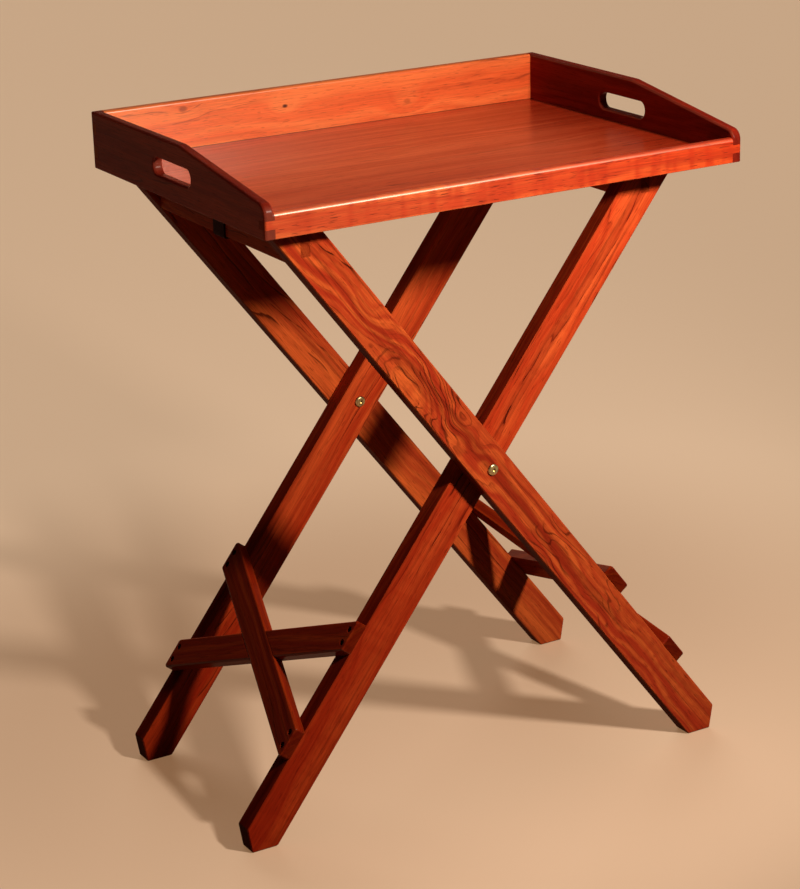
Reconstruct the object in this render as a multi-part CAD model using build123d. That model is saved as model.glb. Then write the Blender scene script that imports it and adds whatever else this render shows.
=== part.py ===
from build123d import *
import math
import os

os.makedirs("parts", exist_ok=True)

# Driving dimensions, in millimetres and degrees.
# Tray
tray_length = 650.0
tray_depth = 455.0
tray_shift = 12.0
wall_thickness = 13.0
back_height = 70.5
nose_height = 39.0
nose_radius = 14.0
side_flat_length = 246.0
knee_radius = 40.0
rim_round = 3.5
front_rail_height = 30.0
front_rail_round = 5.0
front_finger_base = 11.5
front_finger_height = 10.0
back_finger_count = 5
panel_thickness = 7.0
panel_recess = 3.5
groove_depth = 5.0
slot_length = 98.0
slot_height = 20.5
slot_above_base = 34.5
slot_ahead_of_back = 223.5
slot_round = 3.5
base_ease = 1.0

# Legs and top rails
stand_height = 773.0
finger_room = 44.5
stand_width = 375.0
pivot_height = 431.0
leg_width = 51.0
leg_thickness = 25.4
leg_ease = 1.2
foot_flat = 35.0
foot_bevel_height = 31.5
rail_height = 51.0
rail_thickness = 25.4
rail_ease = 1.5
tenon_thickness = 12.0
tenon_height = 30.0

# Cross braces
brace_width = 38.0
brace_thickness = 14.0
brace_ease = 2.5
brace_corner = 4.0
brace_upper_share = 0.475
brace_lower_share = 0.751
screw_pitch = 18.0
screw_from_end = 8.5
screw_counterbore_radius = 4.0
screw_counterbore_depth = 6.0
screw_head_radius = 3.7
screw_head_height = 2.4
screw_shank_radius = 2.0
screw_length = 28.0

# Pivots
pivot_head_radius = 7.2
pivot_head_height = 3.4
pivot_head_edge = 1.1
pivot_land_radius = 2.9
pivot_socket_radius = 2.3
pivot_socket_depth = 1.8
sleeve_radius = 4.5
bolt_shank_radius = 3.0
washer_radius = 9.0
washer_thickness = 1.0

# Webbing strap and its tacks
strap_width = 30.0
strap_thickness = 2.5
strap_tab_height = 42.0
strap_bend_radius = 3.0
tack_pitch = 16.0
tack_head_radius = 3.4
tack_crown_radius = 2.0
tack_head_height = 1.4
tack_shank_radius = 0.8
tack_length = 9.0
tack_from_tab_top = 9.0

# Clearances
glue_gap = 0.1
running_gap = 0.05
side_gap = 0.2
soft_gap = 0.3

# Derived places of the stand
# The top rails leave finger room beside the tray's hand slots.
# The legs lean so that their lower faces meet the rails' lower outer edges.
rail_bottom = stand_height - rail_height
rail_outer_x = tray_length / 2 - wall_thickness - tray_shift - finger_room
rail_above_pivot = rail_bottom - pivot_height
rail_reach = math.hypot(rail_outer_x, rail_above_pivot)
slope = math.atan2(rail_above_pivot, rail_outer_x) + math.asin(leg_width / 2 / rail_reach)
half_run = leg_width / (2 * math.sin(slope))
lower_leg = pivot_height / math.sin(slope)
brace_upper = brace_upper_share * lower_leg
brace_lower = brace_lower_share * lower_leg
leg_gap = washer_thickness + side_gap
outer_half = stand_width / 2
outer_inside = outer_half - leg_thickness
inner_half = outer_inside - leg_gap
inner_inside = inner_half - leg_thickness
tray_bottom = stand_height - panel_recess


def axis_x(z):
    """Distance of an outer leg's centre line from the pivot plane at height z, positive at the foot."""
    return (pivot_height - z) / math.tan(slope)


def block(x_range, y_range, z_range):
    """Rectangular block between the given limits."""
    size = [high - low for low, high in (x_range, y_range, z_range)]
    middle = [(high + low) / 2 for low, high in (x_range, y_range, z_range)]
    return Pos(*middle) * Box(*size)


def prism_xz(points, y_range):
    """Block with an outline in XZ, between two Y limits."""
    outline = make_face(Polyline(*[(x, y_range[0], z) for x, z in points], close=True))
    return extrude(outline, amount=y_range[1] - y_range[0], dir=(0, 1, 0))


def prism_yz(points, x_range):
    """Block with an outline in YZ, between two X limits."""
    outline = make_face(Polyline(*[(x_range[0], y, z) for y, z in points], close=True))
    return extrude(outline, amount=x_range[1] - x_range[0], dir=(1, 0, 0))


def bar_xy(points, z_range):
    """Block with an outline in XY, between two Z limits."""
    outline = make_face(Polyline(*[(x, y, z_range[0]) for x, y in points], close=True))
    return extrude(outline, amount=z_range[1] - z_range[0], dir=(0, 0, 1))


def rod_y(radius, y_range, x, z):
    """Cylinder along Y."""
    rod = Cylinder(radius, y_range[1] - y_range[0])
    return Pos(x, (y_range[0] + y_range[1]) / 2, z) * Rot(90, 0, 0) * rod


def rod_z(radius, z_range, x, y):
    """Cylinder along Z."""
    return Pos(x, y, (z_range[0] + z_range[1]) / 2) * Cylinder(radius, z_range[1] - z_range[0])


def edges_along(solid, direction):
    """Straight edges of a solid that run along a direction."""
    way = Vector(*direction).normalized()
    straight = [edge for edge in solid.edges() if edge.geom_type == GeomType.LINE]
    return [edge for edge in straight if abs((edge @ 1 - edge @ 0).normalized().dot(way)) > 0.9999]


def nearest_edge(edges, point):
    """The edge whose middle lies nearest to a point."""
    target = Vector(*point)
    return min(edges, key=lambda edge: (edge.center() - target).length)


# Leg frames
# Each has its own plane, with X down the leg, Z out of the upper leg face and the pivot as origin.
def frame_plane(side):
    """Plane of a leg frame whose feet are on the given side of the pivot, +1 or -1."""
    down = (side * math.cos(slope), 0, -math.sin(slope))
    out = (side * math.sin(slope), 0, math.cos(slope))
    return Plane(origin=(0, 0, pivot_height), x_dir=down, z_dir=out)


def brace_end(half_span):
    """Lean of a brace bar across its frame, and half the length of its end along the leg."""
    lean = math.atan((brace_lower - brace_upper) / (2 * half_span))
    return lean, brace_width / (2 * math.cos(lean))


def brace_outline(half_span, rising):
    """Outline of a brace bar in the frame's plane, with ends cut along the legs."""
    _, half_end = brace_end(half_span)
    first, last = (brace_upper, brace_lower) if rising else (brace_lower, brace_upper)
    return [
        (first - half_end, -half_span),
        (first + half_end, -half_span),
        (last + half_end, half_span),
        (last - half_end, half_span),
    ]


def screw_places(half_span, rising):
    """Places of a bar's four screws in the frame's plane."""
    lean, _ = brace_end(half_span)
    reach = half_span - screw_from_end
    middle = (brace_upper + brace_lower) / 2
    step = math.tan(lean) * (1 if rising else -1)
    places = []
    for y in (-reach, reach):
        for offset in (-screw_pitch / 2, screw_pitch / 2):
            places.append((middle + y * step + offset, y))
    return places


face_level = leg_width / 2
lap_level = face_level + brace_thickness / 2
bar_level = face_level + brace_thickness
bore_level = bar_level - screw_counterbore_depth
screw_tip_level = bore_level - screw_length


def brace_bar(side, half_span, rising):
    """One brace bar: half-lapped at the crossing, with counterbored screw holes at both ends."""
    bar = bar_xy(brace_outline(half_span, rising), (face_level, bar_level))
    bar = fillet(edges_along(bar, (0, 0, 1)), brace_corner)
    bar = fillet([edge for edge in bar.edges() if edge.center().Z > bar_level - 0.01], brace_ease)
    notch = (face_level, lap_level + glue_gap / 2) if rising else (lap_level - glue_gap / 2, bar_level)
    bar -= bar_xy(brace_outline(half_span, not rising), notch)
    for x, y in screw_places(half_span, rising):
        bar -= rod_z(screw_shank_radius + glue_gap, (face_level, bar_level), x, y)
        bar -= rod_z(screw_counterbore_radius, (bore_level, bar_level), x, y)
    return frame_plane(side) * bar


def wood_screw():
    """Countersunk wood screw along Z, with the top of its head at the origin."""
    neck = screw_head_height
    profile = Polyline(
        (0, 0),
        (screw_head_radius, 0),
        (screw_shank_radius, -neck),
        (screw_shank_radius, -screw_length),
        (0, -screw_length),
        close=True,
    )
    return revolve(Plane.XZ * make_face(profile), axis=Axis.Z)


def brace_screws(side, half_span):
    """The eight screws that hold a frame's two brace bars, as separate solids."""
    head_level = bore_level + screw_head_height
    screws = []
    for rising in (True, False):
        for x, y in screw_places(half_span, rising):
            screws.append(frame_plane(side) * (Pos(x, y, head_level) * wood_screw()))
    return Compound(children=screws)


def leg(side, y_range, half_span, bore_radius):
    """One leg: level top, floor cut, bevelled toe, pivot bore, through mortise and screw pilots."""
    top_x = axis_x(stand_height)
    heel_x = axis_x(0) - half_run
    toe_x = axis_x(foot_bevel_height) + half_run
    points = [
        (top_x - half_run, stand_height),
        (top_x + half_run, stand_height),
        (toe_x, foot_bevel_height),
        (heel_x + foot_flat, 0),
        (heel_x, 0),
    ]
    blank = prism_xz([(side * x, z) for x, z in points], y_range)
    blank = chamfer(blank.edges(), leg_ease)
    blank -= rod_y(bore_radius, y_range, 0, pivot_height)
    blank -= rail_tenon(side, y_range, glue_gap)
    middle = (y_range[0] + y_range[1]) / 2
    pilots = frame_plane(side)
    for rising in (True, False):
        for x, y in screw_places(half_span, rising):
            if side * y * middle > 0:
                pilot = rod_z(screw_shank_radius + running_gap, (screw_tip_level, face_level), x, y)
                blank -= pilots * pilot
    return blank


rail_centre_x = rail_outer_x - rail_thickness / 2
rail_centre_z = stand_height - rail_height / 2


def rail_tenon(side, y_range, gap):
    """Through tenon of a top rail between two Y limits, or its mortise when given a gap."""
    half_x = tenon_thickness / 2 + gap
    half_z = tenon_height / 2 + gap
    centre_x = -side * rail_centre_x
    z_range = (rail_centre_z - half_z, rail_centre_z + half_z)
    return block((centre_x - half_x, centre_x + half_x), y_range, z_range)


def top_rail(side, inside_half):
    """Upright board between a frame's leg tops, with tenons that end flush with the legs' outer faces."""
    centre_x = -side * rail_centre_x
    half_x = rail_thickness / 2
    body = block(
        (centre_x - half_x, centre_x + half_x),
        (-inside_half, inside_half),
        (rail_bottom, stand_height),
    )
    low_edges = [edge for edge in edges_along(body, (0, 1, 0)) if edge.center().Z < rail_centre_z]
    body = fillet(low_edges, rail_ease)
    tenon_end = inside_half + leg_thickness
    body += rail_tenon(side, (-tenon_end, tenon_end), 0)
    for y in (-tack_pitch / 2, tack_pitch / 2):
        body -= tack_hole(-side, y, tack_shank_radius + running_gap)
    return body


# Pivots
def pivot_head(outward_y, face_y):
    """Domed brass head with a drive socket, standing on a leg's face along Y."""
    rise = pivot_head_height - pivot_head_edge
    spread = pivot_head_radius - pivot_land_radius
    half_turn = math.sqrt(0.5)
    profile = Polyline(
        (0, 0),
        (pivot_head_radius, 0),
        (pivot_head_radius, pivot_head_edge),
        (pivot_land_radius + spread * half_turn, pivot_head_edge + rise * half_turn),
        (pivot_land_radius, pivot_head_height),
        (0, pivot_head_height),
        close=True,
    )
    head = revolve(Plane.XZ * make_face(profile), axis=Axis.Z)
    socket = extrude(RegularPolygon(pivot_socket_radius, 6), amount=pivot_socket_depth + pivot_head_height)
    head -= Pos(0, 0, pivot_head_height - pivot_socket_depth) * socket
    turn = -90 if outward_y > 0 else 90
    return Pos(0, face_y, pivot_height) * Rot(turn, 0, 0) * head


def pivot_bolt(end):
    """Bolt from the outer face of an outer leg, end -1 at the front and +1 at the back."""
    face = end * outer_half
    tip = end * (inner_inside + pivot_head_height)
    shank = rod_y(bolt_shank_radius, sorted((face, tip)), 0, pivot_height)
    return pivot_head(end, face) + shank


def pivot_sleeve(end):
    """Sleeve nut from the inner face of an inner leg, with a matching head."""
    face = end * (inner_inside - side_gap)
    tip = end * (outer_half - pivot_head_height)
    floor = end * (inner_inside + pivot_head_height - side_gap)
    sleeve = pivot_head(-end, face) + rod_y(sleeve_radius, sorted((face, tip)), 0, pivot_height)
    return sleeve - rod_y(bolt_shank_radius + running_gap, sorted((floor, tip)), 0, pivot_height)


def pivot_washers():
    """Washers between each outer leg and its inner leg."""
    rings = []
    for end in (-1, 1):
        limits = sorted((end * outer_inside, end * (outer_inside - washer_thickness)))
        ring = rod_y(washer_radius, limits, 0, pivot_height)
        ring -= rod_y(sleeve_radius + running_gap, limits, 0, pivot_height)
        rings.append(ring)
    return Compound(children=rings)


# Strap between the two top rails
def strap():
    """Webbing that goes down the outside of one rail, across under both and up the other."""
    inside = rail_outer_x + glue_gap
    under = rail_bottom - soft_gap
    tab_top = rail_bottom + strap_tab_height
    outside = inside + strap_thickness
    points = [
        (-outside, tab_top),
        (-inside, tab_top),
        (-inside, under),
        (inside + soft_gap, under),
        (inside + soft_gap, tab_top),
        (outside + soft_gap, tab_top),
        (outside + soft_gap, under - strap_thickness),
        (-outside, under - strap_thickness),
    ]
    half = strap_width / 2
    band = prism_xz(points, (-half, half))
    corners = edges_along(band, (0, 1, 0))
    for corner_x in (-outside, outside + soft_gap):
        corner = nearest_edge(corners, (corner_x, 0, under - strap_thickness))
        band = fillet([corner], strap_bend_radius)
        corners = edges_along(band, (0, 1, 0))
    for side in (-1, 1):
        for y in (-tack_pitch / 2, tack_pitch / 2):
            band -= tack_hole(side, y, tack_shank_radius + soft_gap)
    return band


tack_level = rail_bottom + strap_tab_height - tack_from_tab_top


def tack_hole(side, y, radius):
    """Hole for a strap tack, through the strap's tab and into the rail behind it."""
    outside = rail_outer_x + glue_gap + strap_thickness + 2 * soft_gap
    rod = Cylinder(radius, tack_length + soft_gap)
    depth = outside - (tack_length + soft_gap) / 2
    return Pos(side * depth, y, tack_level) * Rot(0, 90, 0) * rod


def strap_tacks(side):
    """Domed tacks that fix one end of the strap, with their heads on the strap's tab."""
    seat = rail_outer_x + glue_gap + strap_thickness + (soft_gap if side > 0 else 0) + glue_gap
    tip = seat - tack_length + soft_gap
    profile = Polyline(
        (0, tack_head_height),
        (0, tip - seat),
        (tack_shank_radius, tip - seat),
        (tack_shank_radius, 0),
        (tack_head_radius, 0),
        (tack_crown_radius, tack_head_height),
        close=True,
    )
    tack = revolve(Plane.XZ * make_face(profile), axis=Axis.Z)
    tacks = []
    for y in (-tack_pitch / 2, tack_pitch / 2):
        tacks.append(Pos(side * seat, y, tack_level) * Rot(0, 90 * side, 0) * tack)
    return Compound(children=tacks)


# Tray, modelled about its own middle with its lower edge at Z = 0.
half_length = tray_length / 2
half_depth = tray_depth / 2
inside_length = half_length - wall_thickness
inside_depth = half_depth - wall_thickness
back_finger_height = back_height / back_finger_count


def at_stand(solid):
    """Set a tray piece down on the stand."""
    return Pos(tray_shift, 0, tray_bottom) * solid


def rounded_wall(y_range, height, radius, x_range):
    """Straight wall along X with both top edges rounded."""
    wall = block(x_range, y_range, (0, height))
    tops = [edge for edge in edges_along(wall, (1, 0, 0)) if edge.center().Z > height / 2]
    return fillet(tops, radius)


def back_wall(x_range):
    """Stretch of the tall back wall."""
    return rounded_wall((inside_depth, half_depth), back_height, rim_round, x_range)


def front_wall(x_range):
    """Stretch of the low front rail."""
    return rounded_wall((-half_depth, -inside_depth), front_rail_height, front_rail_round, x_range)


def front_finger(side, gap):
    """The front rail's finger in a side wall, or its socket when given a gap."""
    x_range = sorted((side * (inside_length - gap), side * (half_length + gap)))
    y_range = (-half_depth - gap, -inside_depth + gap)
    z_range = (front_finger_base - gap, front_finger_base + front_finger_height + gap)
    return block(x_range, y_range, z_range)


def back_fingers(side, gap):
    """The back wall's fingers in a side wall, or their sockets when given a gap."""
    x_range = sorted((side * (inside_length - gap), side * (half_length + gap)))
    fingers = []
    for step in range(1, back_finger_count, 2):
        z_range = (step * back_finger_height - gap, (step + 1) * back_finger_height + gap)
        fingers.append(block(x_range, (inside_depth - gap, half_depth + gap), z_range))
    return fingers


def panel_space(gap):
    """The base panel, or the groove for it when given a gap."""
    reach_x = inside_length + groove_depth - glue_gap + gap
    reach_y = inside_depth + groove_depth - glue_gap + gap
    z_range = (panel_recess - gap, panel_recess + panel_thickness + gap)
    return block((-reach_x, reach_x), (-reach_y, reach_y), z_range)


def plan_outline():
    """Plan of the tray with its upright corners and lower edge eased."""
    plan = extrude(RectangleRounded(tray_length, tray_depth, rim_round), amount=back_height)
    return fillet([edge for edge in plan.edges() if edge.center().Z < 0.01], base_ease)


def side_wall():
    """Right-hand side wall: level top at the back, a slope to a rounded nose, and a hand slot."""
    knee_y = half_depth - side_flat_length
    points = [
        (-half_depth, 0),
        (half_depth, 0),
        (half_depth, back_height),
        (knee_y, back_height),
        (-half_depth, nose_height),
    ]
    wall = prism_yz(points, (inside_length, half_length))
    middle_x = (inside_length + half_length) / 2
    nose = nearest_edge(edges_along(wall, (1, 0, 0)), (middle_x, -half_depth, nose_height))
    wall = fillet([nose], nose_radius)
    knee = nearest_edge(edges_along(wall, (1, 0, 0)), (middle_x, knee_y, back_height))
    wall = fillet([knee], knee_radius)
    rear = nearest_edge(edges_along(wall, (1, 0, 0)), (middle_x, half_depth, back_height))
    across = edges_along(wall, (1, 0, 0)) + edges_along(wall, (0, 0, 1))
    top = [edge for edge in wall.edges() if edge.center().Z > front_rail_height and edge not in across]
    wall = fillet(top + [rear], rim_round)
    wall += back_wall((inside_length, inside_length + rim_round))
    wall += front_wall((inside_length, inside_length + rim_round))
    wall = wall & plan_outline()
    slot_y = half_depth - slot_ahead_of_back
    slot = extrude(Plane.YZ * SlotOverall(slot_length, slot_height), amount=tray_length)
    wall -= Pos(0, slot_y, slot_above_base) * slot
    rims = [edge for edge in wall.edges() if slot_rim(edge, slot_y)]
    wall = fillet(rims, slot_round)
    wall -= front_finger(1, glue_gap)
    for socket in back_fingers(1, glue_gap):
        wall -= socket
    return wall - panel_space(glue_gap)


def slot_rim(edge, slot_y):
    """Whether an edge is part of the hand slot's outline on either face of a side wall."""
    middle = edge.center()
    on_face = min(abs(middle.X - inside_length), abs(middle.X - half_length)) < 0.01
    near_y = abs(middle.Y - slot_y) < slot_length / 2 + 0.01
    near_z = abs(middle.Z - slot_above_base) < slot_height / 2 + 0.01
    return on_face and near_y and near_z and abs((edge @ 1 - edge @ 0).X) < 0.01


def tray_back():
    """Back wall with its box-joint fingers."""
    wall = back_wall((-inside_length, inside_length))
    for side in (-1, 1):
        for finger in back_fingers(side, 0):
            wall += finger
    return (wall & plan_outline()) - panel_space(glue_gap)


def tray_front():
    """Front rail with its box-joint fingers."""
    wall = front_wall((-inside_length, inside_length))
    for side in (-1, 1):
        wall += front_finger(side, 0)
    return (wall & plan_outline()) - panel_space(glue_gap)


right_side = side_wall()

parts = {
    "tray_floor": at_stand(panel_space(0)),
    "tray_back": at_stand(tray_back()),
    "tray_front_rail": at_stand(tray_front()),
    "tray_side_right": at_stand(right_side),
    "tray_side_left": at_stand(mirror(right_side, about=Plane.YZ)),
    "outer_top_rail": top_rail(1, outer_inside),
    "inner_top_rail": top_rail(-1, inner_inside),
    "strap": strap(),
    "strap_tacks_left": strap_tacks(-1),
    "strap_tacks_right": strap_tacks(1),
    "pivot_washers": pivot_washers(),
    "outer_brace_screws": brace_screws(1, outer_half),
    "inner_brace_screws": brace_screws(-1, inner_half),
}

leg_bore = sleeve_radius + running_gap
for end, word in ((-1, "front"), (1, "back")):
    outer_range = tuple(sorted((end * outer_inside, end * outer_half)))
    inner_range = tuple(sorted((end * inner_inside, end * inner_half)))
    parts["outer_leg_" + word] = leg(1, outer_range, outer_half, leg_bore)
    parts["inner_leg_" + word] = leg(-1, inner_range, inner_half, leg_bore)
    parts["pivot_bolt_" + word] = pivot_bolt(end)
    parts["pivot_sleeve_" + word] = pivot_sleeve(end)

for side, frame, half_span in ((1, "outer", outer_half), (-1, "inner", inner_half)):
    for rising, word in ((True, "over"), (False, "under")):
        parts[frame + "_brace_" + word] = brace_bar(side, half_span, rising)

for name, solid in parts.items():
    export_step(solid, "parts/" + name + ".step")
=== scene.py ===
import logging
import math
from collections.abc import Callable
from dataclasses import dataclass
from enum import Enum
from functools import partial

import bmesh
import bpy
import numpy as np
from mathutils import Matrix, Vector


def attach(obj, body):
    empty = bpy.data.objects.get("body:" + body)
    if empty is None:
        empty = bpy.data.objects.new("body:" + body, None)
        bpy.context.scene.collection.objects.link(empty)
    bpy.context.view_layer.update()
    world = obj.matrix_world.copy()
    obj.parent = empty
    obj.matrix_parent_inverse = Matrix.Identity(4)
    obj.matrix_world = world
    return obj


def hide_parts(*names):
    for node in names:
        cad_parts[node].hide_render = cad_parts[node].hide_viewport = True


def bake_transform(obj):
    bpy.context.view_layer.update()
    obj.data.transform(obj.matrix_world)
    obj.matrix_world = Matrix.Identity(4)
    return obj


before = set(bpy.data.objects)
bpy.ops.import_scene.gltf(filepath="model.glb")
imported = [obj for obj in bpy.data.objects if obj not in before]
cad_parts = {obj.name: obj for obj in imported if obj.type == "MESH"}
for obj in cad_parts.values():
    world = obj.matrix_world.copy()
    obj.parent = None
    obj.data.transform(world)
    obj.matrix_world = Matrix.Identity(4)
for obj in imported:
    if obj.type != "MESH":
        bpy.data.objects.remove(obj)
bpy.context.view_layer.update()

LOG = logging.getLogger("tray_table")
MM = 0.001

Pair = tuple[float, float]
Point = tuple[float, float, float]
Material = bpy.types.Material
Mesh = bpy.types.Mesh
Node = bpy.types.Node
Piece = bpy.types.Object
Socket = bpy.types.NodeSocket
Tree = bpy.types.NodeTree
# The seat of a fastener with its outward axis, add_node for one tree, and a layer of stain with its share and colour.
Seat = tuple[Vector, Vector]
Adder = Callable[..., Node]
Layer = tuple[Node, str]

FRONT: Point = (0.0, -1.0, 0.0)
BACK: Point = (0.0, 1.0, 0.0)
RIGHT: Point = (1.0, 0.0, 0.0)
UP: Point = (0.0, 0.0, 1.0)

# Height in mm of the two pivots, where the leg frames cross.
PIVOT_HEIGHT = 431.0
STRAP_UV = "strap_weave"
NO_TINT = "#FFFFFF"

# Node types and settings that come up often.
BUMP = "ShaderNodeBump"
COORDS = "ShaderNodeTexCoord"
MATH = "ShaderNodeMath"
MIX = "ShaderNodeMix"
NOISE = "ShaderNodeTexNoise"
OUTPUT = "ShaderNodeOutputMaterial"
PRINCIPLED = "ShaderNodeBsdfPrincipled"
RANGE = "ShaderNodeMapRange"
SPLIT = "ShaderNodeSeparateXYZ"
VECTOR = "ShaderNodeVectorMath"
COLOURS = {"data_type": "RGBA"}
SMOOTH = {"interpolation_type": "SMOOTHSTEP"}


def linear(hex_code: str) -> tuple[float, float, float, float]:
    """Turn an sRGB hex colour into linear light.

    Args:
        hex_code: Colour such as "#C8682E".

    Returns:
        Red, green, blue and alpha for a colour socket.
    """
    parts = [int(hex_code[i : i + 2], 16) / 255 for i in (1, 3, 5)]
    light = [c / 12.92 if c <= 0.04045 else ((c + 0.055) / 1.055) ** 2.4 for c in parts]
    return (light[0], light[1], light[2], 1.0)


def add_node(tree: Tree, kind: str, inputs: dict | tuple = (), **settings: object) -> Node:
    """Add a node, set its options and feed its inputs.

    Args:
        tree: Node tree that takes the node.
        kind: Blender's name for the node type.
        inputs: Values, sockets or nodes, by input name or place, or in the order of the inputs in use.
        settings: Options by attribute name.

    Returns:
        The new node, which stands for its first output in use when it is fed to another.
    """
    node = tree.nodes.new(kind)
    for name, value in settings.items():
        setattr(node, name, value)
    if isinstance(inputs, dict):
        fed = [(node.inputs[key], value) for key, value in inputs.items()]
    else:
        fed = list(zip([socket for socket in node.inputs if socket.enabled], inputs))
    for socket, value in fed:
        if isinstance(value, Node):
            value = next(output for output in value.outputs if output.enabled)
        if isinstance(value, Socket):
            tree.links.new(value, socket)
        else:
            socket.default_value = value
    return node


def new_material(name: str) -> tuple[Material, Adder]:
    """Make an empty node material.

    Args:
        name: Name of the real material.

    Returns:
        The material, and add_node for its cleared tree.
    """
    material = bpy.data.materials.new(name)
    material.use_nodes = True
    material.node_tree.nodes.clear()
    return material, partial(add_node, material.node_tree)


class Cut(Enum):
    """How a board was sawn: how far the tree's heart lies across the board and behind its face, in mm."""

    RIFT = (48.0, 60.0)
    QUARTER = (110.0, 8.0)


@dataclass(frozen=True)
class Knot:
    """A knot or a swirl in a board: its place, reach, lift of the rings and eye in mm, and how dark the eye is."""

    place: Point
    reach: float
    lift: float
    eye: float = 1.0
    depth: float = 0.0


@dataclass(frozen=True)
class Burr:
    """A burr in a board: its place along it from the middle and its reach in mm, and the strength of its lines."""

    place: float
    reach: float
    strength: float


@dataclass(frozen=True)
class Stain:
    """Colours of a stained board, from its palest wood to its darkest streaks."""

    pale: str
    warm: str
    dark: str
    streak: str


@dataclass(frozen=True)
class Blank:
    """A board whose finish is being made: add_node for its material, and what its patterns read, in mm."""

    add: Adder
    normal: Socket
    # Place from the board's middle along, across and out of it, and the same with the board's own seed.
    board: Node
    placed: Node
    # The middle in the board's turned axes, and half of its length, width and thickness.
    middle: Vector
    half: Vector


@dataclass(frozen=True)
class Patches:
    """Patches in a board: their length, width and depth in mm, their detail, and the levels between which they show."""

    size: Point
    detail: float = 1.0
    low: float = 0.0
    high: float = 1.0
    roughness: float = 0.55

    def noise(self, blank: Blank) -> Node:
        """Noise with patches of this size, about 0.5 in the middle."""
        shrunk = blank.add(VECTOR, (blank.placed, self.size), operation="DIVIDE")
        return blank.add(NOISE, (shrunk, 1.0, self.detail, self.roughness))

    def share(self, blank: Blank, least: float = 0.0, most: float = 1.0) -> Node:
        """How strongly the patches show, from least between them to most inside them."""
        return blank.add(RANGE, (self.noise(blank), self.low, self.high, least, most), **SMOOTH)


# Fibre and pores are drawn about twice as coarse as they are, because they would be too fine to show.
FIBRE = Patches((45.0, 1.4, 1.4), 3.0, 0.3, 0.7)
PORES = Patches((16.0, 1.1, 1.1), 1.0, 0.62, 0.72)
# Warmer stain, flames across the grain, lines with calm wood and with breaks between them, and dark streaks.
MOTTLE = Patches((190.0, 38.0, 38.0), 3.0, 0.35, 0.7)
FLAMES = Patches((17.0, 110.0, 110.0), 1.0, 0.42, 0.66)
CALM = Patches((330.0, 70.0, 70.0), 1.0, 0.4, 0.58)
BREAKS = Patches((42.0, 8.0, 8.0), 2.0, 0.36, 0.58)
ZONES = Patches((700.0, 17.0, 30.0), 2.0, 0.54, 0.74)
VEINS = Patches((300.0, 3.6, 8.0), 2.0, 0.56, 0.72)
MOTTLE_MOST = 0.45
BREAKS_LEAST = 0.15
# What bends the rings: slow and quick sway, whose full swing is a multiple of the wander that shows, and then a fine
# shiver and a drift in their spacing, both in rings.
WANDER = Patches((260.0, 70.0, 70.0), roughness=0.5)
CURL = Patches((75.0, 30.0, 30.0), roughness=0.5)
SWAY = 4.0
NOISE_MIDDLE = (0.5, 0.5, 0.5)
SHIVER = Patches((80.0, 6.0, 6.0))
SHIVER_RINGS = 0.45
DRIFT = Patches((150.0, 45.0, 45.0))
DRIFT_RINGS = 3.0
# A broad band in rings, the levels between which it turns warm, and its broken edge.
BAND_RINGS = 2.6
BAND_LEVELS = (0.34, 0.66)
BAND_DETAIL, BAND_ROUGHNESS = 2.0, 0.6
# Darkness of a ring from its early wood to its late wood, and the levels between which a line turns to ink.
SEASON = ((0.0, 0.0), (0.45, 0.1), (0.75, 0.45), (0.9, 1.0), (1.0, 0.0))
INK_LEVELS = (0.28, 0.75)
# Share of the board's length over which the lines fade.
FADE_ALONG = (0.35, 0.8)
# A knot is longer along the grain, and its pupil is part of its eye.
KNOT_ALONG = 0.62
PUPIL = 0.35
# A burr's rings gone wild, their width, the width of a line, the core where it is strongest, and gaps in the lines.
WILD = Patches((60.0, 22.0, 22.0))
WILD_RINGS = 6.0
BURR_RINGS = 1.2
HALF_RING = 0.5
BURR_LINE = (0.05, 0.18)
BURR_CORE = 0.5
GAPS = Patches((60.0, 20.0, 20.0), 1.0, 0.36, 0.52)
GAPS_LEAST = 0.1
# Depth below the arrises in mm over which the stain is rubbed, and strength of the rub, of the darkening near the
# ends and sides, and of end grain's stain.
RUB_MM = (0.4, 2.6)
RUB = 0.55
DARKENING = 0.85
END_STAIN = 0.6
# How squarely a face looks along the grain to be end grain, out of the board to be no edge, and back to be bare.
END_TURN = (0.55, 1.0)
EDGE_TURN = (0.3, 0.9)
BACK_TURN = (-0.5, 0.0)
# Share of the lacquer that is left on end grain and on a bare back.
END_COAT = 0.1
BACK_COAT = 0.06
# How rounded and how far upward a face is where lacquer is built up, and its weight, index and colour there.
ROUND_TURN = (0.15, 0.32)
UP_TURN = (0.1, 0.3)
FILM = 0.6
LACQUER_IOR, FILM_IOR = 1.5, 2.1
FILM_TINT = "#FFCF8C"
# Gloss of the fibre, and relief of the fibre and pores.
WOOD_ROUGHNESS = (0.42, 0.6)
PORE_SINK = -1.5
WOOD_RELIEF, WOOD_RELIEF_MM = 0.1, 0.3


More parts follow.
